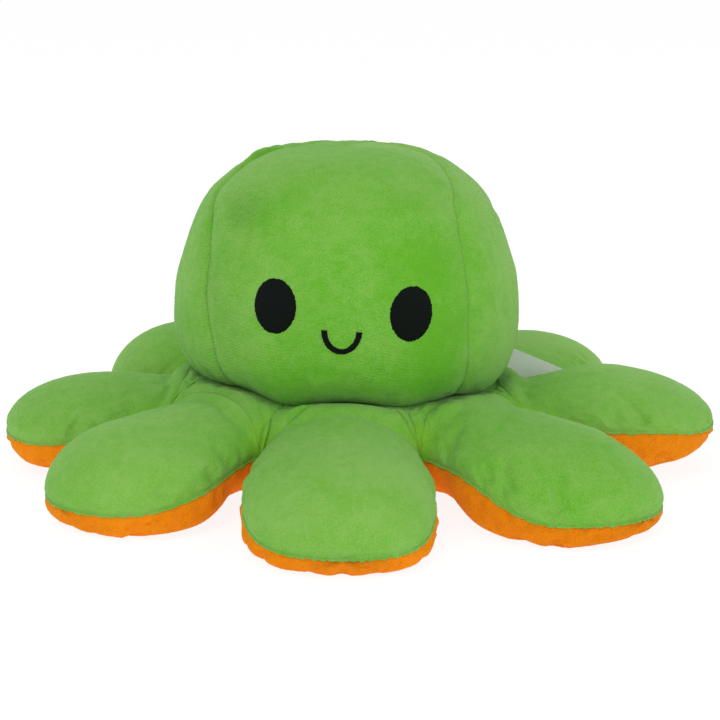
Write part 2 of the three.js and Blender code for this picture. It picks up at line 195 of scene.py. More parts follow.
def along_curve(points, shares):
    """Points at shares of the length of a curve."""
    steps = np.linalg.norm(np.diff(points, axis=0), axis=1)
    length = np.concatenate([[0], np.cumsum(steps)])
    columns = [np.interp(shares * length[-1], length, column) for column in points.T]
    return np.stack(columns, 1)


def unit(vectors):
    return vectors / np.maximum(np.linalg.norm(vectors, axis=-1, keepdims=True), 1e-9)


def outward(grid, side, closed=False):
    """The cloth's outward direction at each point. Side is 1 or -1."""
    if closed:
        across = np.roll(grid, -1, 1) - np.roll(grid, 1, 1)
    else:
        across = np.gradient(grid, axis=1)
    normal = side * unit(np.cross(across, np.gradient(grid, axis=0)))
    ends_in_a_point = np.linalg.norm(np.ptp(grid[-1], axis=0)) < 0.01
    if ends_in_a_point:
        normal[-1] = unit(normal[-2].mean(0))
    return normal


def lengths_from(grid):
    """Lengths along the cloth from its first row, its last row, its first column and its last."""
    along = np.linalg.norm(np.diff(grid, axis=0), axis=2)
    over = np.linalg.norm(np.diff(grid, axis=1), axis=2)
    along = np.concatenate([np.zeros((1, grid.shape[1])), np.cumsum(along, 0)], 0)
    over = np.concatenate([np.zeros((len(grid), 1)), np.cumsum(over, 1)], 1)
    return along, along[-1:] - along, over, over[:, -1:] - over


def in_sector(index, across, forward, height):
    """Turns places in the front leg's sector round to another leg's."""
    a = index * sector
    x = across * math.cos(a) + forward * math.sin(a)
    y = across * math.sin(a) - forward * math.cos(a)
    return np.stack(np.broadcast_arrays(x, y, height), -1)


def ring_place(index, angle, start, bend, end, share):
    """A place on a bent line of a ring skin, whose three places are a distance and a height."""
    a, b, c = (1 - share) ** 2, 2 * share * (1 - share), share**2
    distance, height = (a * p + b * q + c * r for p, q, r in zip(start, bend, end))
    return in_sector(index, distance * np.sin(angle), distance * np.cos(angle), height)


def neck_line(angle):
    """The height of the neck seam in a direction, in radians from straight ahead."""
    turn = (np.degrees(angle) + 180) % 360 - 180
    curve = refined(np.array(neck_heights, float), 6, 0)
    return np.interp(turn, curve[:, 0], curve[:, 1])


def ring_top(index, width_share, share):
    """A point of the ring's upper skin, from the neck at 0 to the crotch line at 1."""
    rise = legs[index]["root"] - crotch_height
    angle = np.arctan(width_share * sector_slope)
    start = neck_radius, neck_line(angle + index * sector)
    end_radius = crotch_distance / np.cos(angle)
    end = end_radius, crotch_height + rise * swell(width_share, top_fullness)
    bend = mix(neck_radius, end_radius, 0.6), start[1] + neck_puff * (1 - width_share**2)
    return ring_place(index, angle, start, bend, end, share)


def leg_outline(index, width_share, along):
    """Places across and ahead on a leg, with the height of its edge seam."""
    leg = legs[index]
    length = leg["reach"] - crotch_distance
    wide = mix(crotch_distance * sector_slope, leg_half_width, smooth(along / widening_length))
    start, roundness = leg["plan"]
    across = width_share * wide * rounding(along, length, start, roundness)
    across = across + leg["swing"] * (along / length) ** 2.5
    fallen = between(along / length, *leg["seam_fall"])
    return across, crotch_distance + along, mix(crotch_height, leg["tip_seam"], fallen), length


def leg_top(index, width_share, along):
    """A point of a leg's upper skin, so far beyond the crotch line."""
    across, forward, edge_height, length = leg_outline(index, width_share, along)
    root, top = legs[index]["root"], legs[index]["top"]
    tallest = mix(root, top, smooth(along / rising_length)) - edge_height
    tallest = tallest * rounding(along, length, *legs[index]["crown"])
    height = edge_height + tallest * swell(width_share, top_fullness)
    return in_sector(index, across, forward, height)


def arch_at(index, width_share):
    arch = legs[index]["arch"]
    return np.interp(width_share, np.linspace(-1, 1, len(arch)), arch)


def leg_distances(index):
    length = legs[index]["reach"] - crotch_distance
    return length * np.sin(np.linspace(0, quarter_turn, path_steps))


def leg_top_grid(index):
    columns = []
    for t in width_shares:
        near = np.linspace(arch_at(index, t), 1, 24)[:-1]
        path = np.concatenate([ring_top(index, t, near), leg_top(index, t, leg_distances(index))])
        columns.append(along_curve(path, length_shares))
    return np.stack(columns, 1)


def ring_grid(surface, divisions, last_share):
    columns = []
    for index in range(8):
        for t in width_shares[:-1]:
            shares = np.linspace(0, last_share(index, t), divisions + 1)
            columns.append(surface(index, t, shares))
    return np.stack(columns, 1)


def settled(grids, side, held, most=1.2):
    """Blows the cloth up a little between its seams, and keeps the unevenness that this gives it.

    No point moves further than the given length."""
    # The cloth is blown up at ten times its real size, with points that are very near joined.
    scale = 0.01
    merging_distance = 0.02
    steps = 20
    smoothing_rounds = 12
    seam_fade = 3
    places, faces, indices = [], [], []
    for grid, closed in grids:
        rows, columns = grid.shape[:2]
        index = np.arange(rows * columns).reshape(rows, columns) + sum(len(p) for p in places)
        indices.append(index)
        wide = np.concatenate([index, index[:, :1]], 1) if closed else index
        quads = [wide[:-1, :-1], wide[:-1, 1:], wide[1:, 1:], wide[1:, :-1]]
        quads = np.stack(quads, -1).reshape(-1, 4)
        faces.append(quads if side > 0 else quads[:, ::-1])
        places.append(grid.reshape(-1, 3))
    places = np.concatenate(places)
    rounded = np.round(places / merging_distance).astype(int)
    keys, back = np.unique(rounded, axis=0, return_inverse=True)
    back = back.reshape(-1)
    joined = np.zeros((len(keys), 3))
    joined[back] = places
    corners = [list(dict.fromkeys(face)) for face in back[np.concatenate(faces)].tolist()]
    mesh = bpy.data.meshes.new("settling")
    mesh.from_pydata(joined * scale, [], [face for face in corners if len(face) > 2])
    cloth = bpy.data.objects.new("settling", mesh)
    bpy.context.collection.objects.link(cloth)
    stiff = np.zeros(len(keys), bool)
    stiff[back[np.concatenate([index[mask] for index, mask in zip(indices, held)])]] = True
    group = cloth.vertex_groups.new(name="held")
    group.add(np.nonzero(stiff)[0].tolist(), 1, "REPLACE")
    modifier = cloth.modifiers.new("cloth", "CLOTH")
    fabric = dict(
        quality=6, mass=0.3, tension_stiffness=12, compression_stiffness=12, shear_stiffness=4,
        bending_stiffness=0.4, shrink_min=-0.035, use_pressure=True, uniform_pressure_force=4,
        vertex_group_mass="held",
    )
    for key, value in fabric.items():
        setattr(modifier.settings, key, value)
    modifier.settings.effector_weights.gravity = 0
    modifier.point_cache.frame_start = 1
    modifier.point_cache.frame_end = steps
    scene = bpy.context.scene
    for step in range(1, steps + 1):
        scene.frame_set(step)
    seen = cloth.evaluated_get(bpy.context.evaluated_depsgraph_get())
    after = np.zeros(len(keys) * 3)
    seen.data.vertices.foreach_get("co", after)
    scene.frame_set(1)
    bpy.data.objects.remove(cloth)
    moved = (after.reshape(-1, 3) / scale - joined)[back]
    out = []
    for (grid, closed), index in zip(grids, indices):
        move = moved[index]
        broad = move.copy()
        for _ in range(smoothing_rounds):
            for axis in (0, 1):
                near = np.moveaxis(broad, axis, 0)
                padded = np.concatenate([near[:1], near, near[-1:]])
                if closed and axis == 1:
                    padded = np.concatenate([near[-1:], near, near[:1]])
                broad = np.moveaxis((padded[:-2] + 2 * near + padded[2:]) / 4, 0, axis)
        fine = move - broad
        size = np.linalg.norm(fine, axis=2, keepdims=True)
        fine *= np.minimum(1, most / np.maximum(size, 1e-9))
        first, last, left, right = lengths_from(grid)
        near = np.minimum(first, last) if closed else np.minimum.reduce([first, last, left, right])
        out.append((grid + fine * smooth(near / seam_fade)[..., None], closed))
    return out


def pressed(grid, normal, line, depth, width):
    """Presses a soft fold into the cloth along a line of places."""
    line = refined(np.array(line, float), 8, 0)
    gap = np.linalg.norm(grid[..., None, : line.shape[1]] - line, axis=-1)
    ends = np.sin(np.pi * (np.arange(len(line)) + 0.5) / len(line)) ** 0.5
    pressed_in = (ends * bell(gap, width)).max(-1)
    return grid - normal * (depth * pressed_in)[..., None]


def drawn_in(grid, side, seams, closed=False, width=1.4, pucker=0.14):
    """Draws the cloth in along its sewn edges, with puckers beside them, and raises its nap.

    Each seam gives its depth and, at each of its points, the direction into the toy. Both pieces
    of a seam are given the same ones, so that their edges meet."""
    # A broad band beside a seam is drawn in too, by a share of its depth.
    broad_width, broad_share = 4, 0.25
    turning_width = 1.5
    corner_fade = 3
    pucker_reach, pucker_fade = 3.5, 1.2
    nap_height, nap_fade = 0.03, 1.5
    normal = outward(grid, side, closed)
    first, last, left, right = lengths_from(grid)
    gaps = {edge: gap for edge, gap in (("first", first), ("last", last)) if edge in seams}
    depths = {edge: seams[edge][0] for edge in gaps}
    intos = {edge: seams[edge][1] for edge in gaps}
    fades = dict.fromkeys(gaps, 1)
    if "left" in seams:
        (left_depth, left_into), (right_depth, right_into) = seams["left"], seams["right"]
        gaps["sides"] = np.minimum.reduce([left, right, last])
        nearer_right = smooth(left / np.maximum(left + right, 1e-6))[..., None]
        depths["sides"] = mix(left_depth, right_depth, nearer_right)
        ways = (left_into[:, None], left), (right_into[:, None], right), (left_into[-1], last)
        intos["sides"] = unit(sum(way / (gap[..., None] + 0.05) ** 2 for way, gap in ways))
        fades["sides"] = smooth(first / corner_fade)[..., None]
    near = np.minimum.reduce(list(gaps.values()))
    run = (first + 0.37 * left) * 0.9
    ripple = np.sin(run) + 0.6 * np.sin(1.73 * run + 1) + 0.5 * np.sin(0.41 * run)
    inset = pucker * ripple * np.exp(-near / pucker_reach) * smooth(near / pucker_fade)
    inset = inset + chance.normal(0, nap_height, near.shape) * smooth(near / nap_fade)
    move = -normal * inset[..., None]
    for edge, gap in gaps.items():
        gap = gap[..., None]
        share = (bell(gap, width) + broad_share * bell(gap, broad_width)) * fades[edge]
        move = move + depths[edge] * share * mix(-normal, intos[edge], bell(gap, turning_width))
    return grid + move


edge_places = {"left": np.s_[:, 0], "right": np.s_[:, -1], "first": np.s_[0], "last": np.s_[-1]}


def turned_in(grid, seams, allowance=2):
    """Adds the seam allowances, which lie inside the toy."""
    for edge in [edge for edge in edge_places if edge in seams]:
        row, into = grid[edge_places[edge]], seams[edge][1]
        spare = (len(row) - len(into)) // 2
        into = np.pad(into, ((spare, spare), (0, 0)), mode="edge")
        axis = 0 if edge in ("first", "last") else 1
        extra = np.expand_dims(row + into * allowance, axis)
        grid = np.concatenate([extra, grid] if edge in ("first", "left") else [grid, extra], axis)
    return grid


def inwards(points):
    """The level direction from each point to the axis of the head."""
    return -unit(points * [1, 1, 0])


def arch_into(points):
    """Into the toy along a leg's arch: down, and level towards the axis at the crotches."""
    level = between(points[:, 2:], crotch_height + 6, crotch_height + 1)
    return unit(mix(down, inwards(points), level))


def edge_into(edge, index):
    """The level direction from a leg's edge seam into the leg, at each point of the seam."""
    level = unit(np.cross(np.gradient(edge, axis=0), down))
    in_the_leg = in_sector(index, 0, crotch_distance + 15, 0)
    level = level * np.sign((level * (in_the_leg - edge)).sum(1, keepdims=True))
    level[-1] = in_sector(index, 0, -1, 0)
    return level


def lipped(grid, left_into, right_into):
    """The nap of the upper skin hangs a little over its edge seam, in uneven tufts."""
    overhang, tuft_length, shortest = 0.4, 0.55, 0.25
    strips = []
    for column, into in ((0, left_into), (-1, right_into)):
        along = np.arange(len(grid))
        tufts = tuft_length + 0.13 * chance.normal(0, 1, len(grid)) + 0.14 * np.sin(along * 0.9)
        tufts[-1] = tuft_length
        edge, long = grid[:, column], np.clip(tufts, shortest, 1)[:, None]
        strips.append([
            edge - into * overhang + down * 0.3 * long,
            edge - into * overhang + down * long,
            edge + into * 1.5 + down * 0.5,
        ])
    left = np.stack(strips[0][::-1], 1)
    return np.concatenate([left, grid, np.stack(strips[1], 1)], 1)


def tones_and_painted_light_at(places):
    """Painted paleness with painted sheen on the head's right, painted light in the crotches, and
    how much ribs show.
    """
    x, y, z = places[:, 0], places[:, 1], places[:, 2]
    distance, angle = np.hypot(x, y), np.arctan2(x, -y)
    degrees = np.degrees(angle)
    # The crotches take a painted light colour, in a narrower place higher up: on the green, painted
    # orange light bounced from the undersides, and on the orange, painted light against their
    # shade.
    turn = (angle % sector) - sector / 2
    crotch = np.hypot(distance * np.sin(turn), distance * np.cos(turn) - crease_distance)
    painted_crotch_light = 0.7 * bell(crotch, mix(12, 6.5, between(z, 8, 16))) * between(z, 30, 18)
    # The head is painted paler on its right, as painted sheen, and darker to the right of its face
    # and low in front. The legs are painted paler, most at the rear right and not at the front
    # right.
    on_head = distance < 56
    above_neck = between(z, 30, 36) * on_head
    right_side = between(degrees, 46, 72) * between(degrees, 170, 120) * above_neck
    beside_face = bell(degrees - 31, 13) * between(z, 85, 70) * above_neck
    low_front = between(z, 50, 34) * between(np.abs(degrees), 50, 20) * above_neck
    on_legs = 1 - bell(degrees - 42, 14) + 2.4 * bell(degrees - 135, 16)
    on_legs = on_legs * between(distance, 58, 80)
    paleness_and_sheen = 0.5 + 0.4 * right_side - 0.5 * beside_face - 0.35 * low_front + 0.25 * on_legs
    # The head's ribs show most to the left of its face.
    head_ribs = 0.12 + 0.75 * bell(degrees + 42, 13) * between(z, 94, 82)
    return paleness_and_sheen, painted_crotch_light, np.where(on_head, head_ribs, 0.6)


def cloth_mesh(name, grid, side, material, closed=False):
    """A piece of cloth from rows of points, with its lengths as UVs and its place at rest."""
    rows, columns = grid.shape[:2]
    wide = np.concatenate([grid, grid[:, :1]], 1) if closed else grid
    lengths = lengths_from(wide)
    middle = lengths[2][:, wide.shape[1] // 2][:, None]
    lengths = np.stack([lengths[2] - middle, lengths[0]], 2) * MILLIMETRE
    index = np.arange(rows * columns).reshape(rows, columns)
    if closed:
        index = np.concatenate([index, index[:, :1]], 1)
    corners = [(0, 0), (0, 1), (1, 1), (1, 0)]
    if side < 0:
        corners.reverse()
    r, c = np.mgrid[0 : rows - 1, 0 : index.shape[1] - 1]
    quads = np.stack([index[r + i, c + j] for i, j in corners], -1).reshape(-1, 4)
    uv = np.stack([lengths[r + i, c + j] for i, j in corners], 2).reshape(-1, 2)
    places = grid.reshape(-1, 3) * MILLIMETRE + np.array([axis_x * MILLIMETRE, 0, 0])
    mesh = bpy.data.meshes.new(name)
    mesh.from_pydata(places, [], quads.tolist())
    layer = mesh.uv_layers.new(name="cloth")
    layer.data.foreach_set("uv", uv.ravel())
    rest = mesh.attributes.new("rest", "FLOAT_VECTOR", "POINT")
    rest.data.foreach_set("vector", places.ravel())
    for title, values in zip(("paleness_and_sheen", "painted_crotch_light", "ribbed"), tones_and_painted_light_at(grid.reshape(-1, 3))):
        mesh.attributes.new(title, "FLOAT", "POINT").data.foreach_set("value", values)
    mesh.shade_smooth()
    mesh.materials.append(material)
    piece = bpy.data.objects.new(name, mesh)
    bpy.context.collection.objects.link(piece)
    return piece


def add_node(nodes, kind, inputs=(), **settings):
    made = nodes.new(kind)
    for key, value in settings.items():
        setattr(made, key, value)
    for key, value in dict(inputs).items():
        made.inputs[key].default_value = value
    return made


def new_material(name, values):
    """A material whose own shader has the given values."""
    material = bpy.data.materials.new(name)
    material.use_nodes = True
    nodes, links = material.node_tree.nodes, material.node_tree.links
    shader = nodes["Principled BSDF"]
    for key, value in values.items():
        shader.inputs[key].default_value = value
    return material, nodes, links, shader


def add_relief(nodes, links, shader, height, strength, depth):
    """Raises a pattern on a material, to a depth in metres."""
    bump = add_node(nodes, "ShaderNodeBump", {"Strength": strength, "Distance": depth})
    links.new(height, bump.inputs["Height"])
    links.new(bump.outputs["Normal"], shader.inputs["Normal"])


def plush(name, deep, pale, painted_crotch_light, edge, rib_turn, rib_depth):
    """Short-pile plush: patches, fine ribs of the knitted back, nap and sheen, with painted
    paleness and sheen, and painted light in the crotches.
    """
    material, nodes, links, shader = new_material(name, {
        "Roughness": 0.9, "Specular IOR Level": 0.05,
        "Sheen Weight": 0.18, "Sheen Roughness": 0.45, "Sheen Tint": (*edge, 1),
    })

    node = partial(add_node, nodes)

    def noise(scale, detail, **more):
        made = node("ShaderNodeTexNoise", {"Scale": scale, "Detail": detail, **more})
        links.new(rest.outputs["Vector"], made.inputs["Vector"])
        return made.outputs["Fac"]

    def weighed(first, first_share, second, second_share):
        scaled = node("ShaderNodeMath", {1: first_share}, operation="MULTIPLY")
        links.new(first, scaled.inputs[0])
        added = node("ShaderNodeMath", {1: second_share}, operation="MULTIPLY_ADD")
        links.new(second, added.inputs[0])
        links.new(scaled.outputs[0], added.inputs[2])
        return added.outputs[0]

    def times(first, second):
        product = node("ShaderNodeMath", operation="MULTIPLY")
        links.new(first, product.inputs[0])
        links.new(second, product.inputs[1])
        return product.outputs[0]

    rest = node("ShaderNodeAttribute", attribute_name="rest")
    # Stored on the mesh: painted paleness and sheen, painted light in the crotches, and how much
    # the ribs show.
    paleness_and_sheen = node("ShaderNodeAttribute", attribute_name="paleness_and_sheen").outputs["Fac"]
    crotch_light_share = node("ShaderNodeAttribute", attribute_name="painted_crotch_light").outputs["Fac"]
    ribbed = node("ShaderNodeAttribute", attribute_name="ribbed").outputs["Fac"]
    patches = noise(42, 3, Roughness=0.55, Distortion=0.6)
    spots = noise(330, 3, Roughness=0.6)
    nap = noise(2300, 2, Roughness=0.7)
    shade = weighed(patches, 0.4, spots, 0.27)
    shade = weighed(shade, 1, nap, 0.6)
    shade = weighed(shade, 1, paleness_and_sheen, 0.28)
    ramp = node("ShaderNodeValToRGB")
    for stop, position, colour in zip(ramp.color_ramp.elements, (0.63, 0.93), (deep, pale)):
        stop.position = position
        stop.color = (*colour, 1)
    links.new(shade, ramp.inputs["Fac"])
    # The crotches are mixed towards the painted light colour.
    coloured = node("ShaderNodeMix", {7: (*painted_crotch_light, 1)}, data_type="RGBA")
    links.new(crotch_light_share, coloured.inputs[0])
    links.new(ramp.outputs["Color"], coloured.inputs[6])
    links.new(coloured.outputs[2], shader.inputs["Base Color"])
    uv = node("ShaderNodeUVMap", uv_map="cloth")
    turn = node("ShaderNodeMapping", {"Rotation": (0, 0, rib_turn)})
    links.new(uv.outputs["UV"], turn.inputs["Vector"])
    uneven = {"Scale": 331, "Distortion": 2.4, "Detail": 2, "Detail Scale": 0.5}
    ribs = node("ShaderNodeTexWave", uneven, wave_type="BANDS", bands_direction="Y")
    links.new(turn.outputs["Vector"], ribs.inputs["Vector"])
    worn = {"From Min": 0.4, "From Max": 0.6, "To Min": 0.3, "To Max": 1}
    worn = node("ShaderNodeMapRange", worn)
    links.new(noise(30, 1), worn.inputs["Value"])
    rib_height = times(times(ribs.outputs["Fac"], worn.outputs["Result"]), ribbed)
    height = weighed(nap, 0.5, rib_height, rib_depth)
    height = weighed(height, 1, spots, 0.8)
    add_relief(nodes, links, shader, height, 0.9, 0.0006)
    return material


# Deep and pale green, and a yellowish green painted in the crotches as orange light bounced from
# the legs' undersides.
greens = (0.1, 0.35, 0.017), (0.2, 0.42, 0.08), (0.18, 0.42, 0.005)
green_sheen = (0.8, 0.95, 0.75)
legs_plush = plush("green plush of the legs", *greens, green_sheen, 0.6, 0.12)


def bend_with(piece):
    """Bakes the piece's placement into its mesh; it stays unattached, and does not bend with a leg.
    """
    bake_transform(piece)


def edges_of(grid, *edges):
    """Which points of a grid lie on the given edges."""
    mask = np.zeros(grid.shape[:2], bool)
    for edge in edges:
        mask[edge_places[edge]] = True
    return mask


def settled_skins(ring, leg_grids, side):
    """A ring skin and its eight leg skins, settled together and then made finer."""
    grids = [(ring, True)] + [(grid, False) for grid in leg_grids]
    held = [edges_of(ring, "first")]
    held += [edges_of(grid, "left", "right", "last") for grid in leg_grids]
    return [finer(grid, 3, 3, closed) for grid, closed in settled(grids, side, held)]


ring_upper = ring_grid(ring_top, 6, arch_at)
upper = settled_skins(ring_upper, [leg_top_grid(index) for index in range(8)], -1)
for k, grid in enumerate(upper):
    is_ring = k == 0
    normal = outward(grid, -1, is_ring)
    for line in root_folds:
        grid = pressed(grid, normal, line, fold_depth, root_fold_width)
    if is_ring:
        seams = {"first": (seam_depth, inwards(grid[0])), "last": (seam_depth, arch_into(grid[-1]))}
        grid = turned_in(drawn_in(grid, -1, seams, True), seams)
        piece = cloth_mesh("ring_top_skin", grid, -1, legs_plush, True)
        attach(piece, "head")
        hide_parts("ring_top")
    else:
        name = leg_names[k - 1]
        left, right = edge_into(grid[:, 0], k - 1), edge_into(grid[:, -1], k - 1)
        arch = {"first": (seam_depth, arch_into(grid[0]))}
        sides = {"left": (seam_depth, left), "right": (seam_depth, right)}
        grid = lipped(drawn_in(grid, -1, arch | sides), left, right)
        piece = cloth_mesh(f"leg_top_skin_{name}", turned_in(grid, arch), -1, legs_plush)
        bend_with(piece)
        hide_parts(f"leg_top_{name}")

# Lower skins of the legs and ring: the same plush in orange. The ring reaches in to the mouth of
# the pocket, where the lining is sewn to it. The tongues are sewn to the green ones at the edge.
mouth_radius = 34
mouth_height = 7
root_bottom_height = 2
# How far a leg's underside sags before the floor flattens it.
sag = 0.2
# How square the underside is across, at the crease, further out and at the tip.
crease_fullness = 2.15
bottom_fullness = 5
tip_fullness = 2.1
# Where along each leg its underside starts to rise to the tip.
common_tip = 0.86
leg_tips = {"right": 0.4, "left": 0.5, "front_right": 0.78}
# Deep and pale orange, and a brighter orange painted in the crotches against their shade.
oranges = (0.6, 0.165, 0.001), (0.76, 0.225, 0.006), (0.9, 0.24, 0.001)
orange_sheen = (1, 0.5, 0.1)
orange_plush = plush("orange plush", *oranges, orange_sheen, 0.75, 0.45)


def ring_bottom(index, width_share, share):
    """A point of the ring's lower skin, from the mouth at 0 to the crotch line at 1."""
    angle = np.arctan(width_share * sector_slope)
    end_radius = crotch_distance / np.cos(angle)
    depth = crotch_height - root_bottom_height
    deep = swell(width_share, crease_fullness)
    start, end = (mouth_radius, mouth_height), (end_radius, crotch_height - depth * deep)
    bend_height = crotch_height - depth * np.maximum(deep, 0.85)
    bend = mix(mouth_radius, end_radius, 0.12), bend_height
    return ring_place(index, angle, start, bend, end, share)


def leg_bottom(index, width_share, along):
    """A point of a leg's lower skin, so far beyond the crotch line."""
    across, forward, edge_height, length = leg_outline(index, width_share, along)
    lowest = mix(-sag, legs[index]["under"], smooth(along / length))
    lowest = mix(root_bottom_height, lowest, smooth(along / 14))
    fullness = mix(crease_fullness, bottom_fullness, between(along, 8, 32))
    fullness = mix(fullness, tip_fullness, between(along / length, 0.8, 1))
    start = leg_tips.get(leg_names[index], common_tip)
    deep = (edge_height - lowest) * rounding(along, length, start, legs[index]["plan"][1])
    height = edge_height - deep * swell(width_share, fullness)
    on_floor = 0.5 * (height + np.sqrt(height**2 + sag**2)) - sag / 2
    return in_sector(index, across, forward, on_floor)


def leg_bottom_grid(index):
    columns = []
    for t in width_shares:
        columns.append(along_curve(leg_bottom(index, t, leg_distances(index)), length_shares))
    return np.stack(columns, 1)


def mouth_into(points):
    """Into the toy at the mouth: outwards and up."""
    return unit(-inwards(points) - 0.5 * down)


def crease_into(points):
    """Into the toy under a leg's root: up, and level towards the axis at the crotches."""
    level = between(points[:, 2:], crotch_height - 6, crotch_height - 1)
    return unit(mix(-down, inwards(points), level))


ring_lower = ring_grid(ring_bottom, 8, lambda index, width_share: 1)
lower = settled_skins(ring_lower, [leg_bottom_grid(index) for index in range(8)], 1)
for k, grid in enumerate(lower):
    is_ring = k == 0
    seams = {"first": (seam_depth, mouth_into(grid[0]) if is_ring else crease_into(grid[0]))}
    if is_ring:
        seams["last"] = seam_depth, crease_into(grid[-1])
    else:
        seams["left"] = seam_depth, edge_into(grid[:, 0], k - 1)
        seams["right"] = seam_depth, edge_into(grid[:, -1], k - 1)
    grid = turned_in(drawn_in(grid, 1, seams, is_ring), seams)
    grid[..., 2] = np.maximum(grid[..., 2], 0)
    name = "ring_bottom_skin" if is_ring else f"leg_bottom_skin_{leg_names[k - 1]}"
    piece = cloth_mesh(name, grid, 1, orange_plush, is_ring)
    if is_ring:
        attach(piece, "head")
        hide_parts("ring_bottom")
    else:
        bend_with(piece)
        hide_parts(f"leg_bottom_{leg_names[k - 1]}")

# The head: four green gores sewn edge to edge up to the crown, which lies behind the middle, so the
# seams lean back. The cloth is full between the seams and drawn in at them.
gore_names = ["front", "right", "back", "left"]
head_outline = [
    (44.8, 28), (48.9, 33), (51.6, 39.6), (52.4, 47), (51.7, 58), (50, 64.5), (46, 76),
    (41.6, 84), (36.2, 89.2), (28.6, 94.3), (20.5, 97), (10, 98.1), (4, 98), (0, 97.9),
]
crown_place = (1, 18)
gore_divisions = 24
gore_rows = 48
# Where each seam runs: its direction in degrees at each height of a row of the gores.
seam_runs = [
    [(28, -45), (39, -46), (46, -47.2), (53, -50.3), (68.5, -54.8), (76.5, -60), (84.8, -71)]
    + [(93, -76), (96, -77)],
    [(28, 47.8), (38, 45.6), (50, 44.6), (63, 45.9), (75, 46.7), (83, 49.5), (92.3, 63.7)]
    + [(96, 73)],
    [(28, 130), (40, 125), (60, 110), (80, 96), (92, 104), (96, 112)],
    [(28, 220), (60, 218), (96, 215)],
]
# How far each seam lies in a groove, how deep it is drawn in there, and how abruptly each gore
# falls to its left and right seam.
seam_grooves = [0.8, 0.9, 0.8, 1.1]
seam_depths = [0.5, 0.22, 0.3, 0.5]
gore_falls = [(5, 6), (6, 9), (9, 6), (6, 16)]
seam_width = 1.1
seam_pucker = 0.06
most_settling = 0.2
# The left gore stands proud of its right seam, most near the top.
proud_low = 0.3
proud_high = 1.6
# Folds pressed into the head low on its left, as places on it.
head_folds = [
    [(-47, -21, 40), (-44.5, -22.5, 36), (-41, -22.5, 32.5), (-38, -22, 30.5)],
    [(-41, -28, 38.5), (-38.5, -27.5, 34.5), (-36, -27, 31.5)],
]
head_fold_width = 1.8
head_plush = plush("green plush of the head", *greens, green_sheen, 0.12, 0.9)


def smooth_curve(points, count=600):
    """A smooth curve through points of a profile, evenly divided along its length."""
    return along_curve(refined(np.array(points, float), 40, 0), np.linspace(0, 1, count))


head_curve = smooth_curve(head_outline)
head_shares = np.linspace(0, 1, len(head_curve))
widest = int(np.argmax(head_curve[:, 0]))


def on_outline(curve, angle, share, inset):
    """A point of an outline turned round the axis, moved inwards along its normal."""
    shares = np.linspace(0, 1, len(curve))
    slope = unit(np.gradient(curve, axis=0))
    radius, height = (np.interp(share, shares, column) for column in curve.T)
    along_radius, along_height = (np.interp(share, shares, column) for column in slope.T)
    distance = np.maximum(radius - along_height * inset, 0)
    places = distance * np.sin(angle), -distance * np.cos(angle), height + along_radius * inset
    return np.stack(np.broadcast_arrays(*places), -1)


def gore_places(index, across, share):
    """The direction and the share of the outline at a place of a gore, from -1 to 1 across it."""
    radius = np.interp(share, head_shares, head_curve[:, 0])
    height = np.interp(share, head_shares, head_curve[:, 1])
    low = np.interp(height, *np.transpose(seam_runs[index]))
    high = np.interp(height, *np.transpose(seam_runs[(index + 1) % 4]))
    high = high + (360 if index == 3 else 0)
    angle = np.radians(mix(low, high, (across + 1) / 2))
    back = np.where(share * (len(head_curve) - 1) > widest, 1 - radius / head_curve[widest, 0], 0)
    x = radius * np.sin(angle) + crown_place[0] * back
    y = -radius * np.cos(angle) + crown_place[1] * back
    upper_share = np.interp(-np.hypot(x, y), -head_curve[widest:, 0], head_shares[widest:])
    return np.arctan2(x, -y), np.where(back > 0, upper_share, share)


def gore_grid(index, deeper=0):
    """A gore's points, or points so much deeper in the toy."""
    shares = np.linspace(0, 1, gore_rows + 1), np.linspace(-1, 1, gore_divisions + 1)
    share, across = np.meshgrid(*shares, indexing="ij")
    angle, place = gore_places(index, across, share)
    radius = np.interp(share, head_shares, head_curve[:, 0])
    left_fall, right_fall = gore_falls[index]
    groove = seam_grooves[index] * np.clip(-across, 0, 1) ** left_fall
    groove = groove + seam_grooves[(index + 1) % 4] * np.clip(across, 0, 1) ** right_fall
    grid = on_outline(head_curve, angle, place, deeper + groove * np.minimum(radius / 30, 1))
    lowered = neck_height - neck_line(angle)
    grid[..., 2] -= lowered * between(grid[..., 2], neck_height + 12, neck_height)
    return grid


gores = [(gore_grid(index), False) for index in range(4)]
held = [edges_of(grid, "first", "left", "right", "last") for grid, _ in gores]
gores = settled(gores, 1, held, most_settling)
for index, name in enumerate(gore_names):
    grid = finer(gores[index][0], 3, 4)
    into = unit(finer(gore_grid(index, 1), 3, 4) - finer(gore_grid(index), 3, 4))
    if name == "left":
        gap, height = lengths_from(grid)[3], grid[..., 2]
        radius = np.hypot(grid[..., 0], grid[..., 1])
        proud = mix(proud_low, proud_high, between(height, 91, 96)) * bell(gap, 6)
        proud = proud * smooth(gap / 1.3) * between(height, 38, 48) * between(radius, 20, 26)
        grid = grid + outward(grid, 1) * proud[..., None]
    for line in head_folds:
        grid = pressed(grid, outward(grid, 1), line, fold_depth, head_fold_width)
    seams = {"first": (seam_depth, inwards(grid[0]))}
    seams["left"] = seam_depths[index], into[:, 0]
    seams["right"] = seam_depths[(index + 1) % 4], into[:, -1]
    grid = turned_in(drawn_in(grid, 1, seams, width=seam_width, pucker=seam_pucker), seams)
    gore = cloth_mesh(f"head_{name}_gore", grid, 1, head_plush)
    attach(gore, "head")
    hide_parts(f"head_{name}_panel")

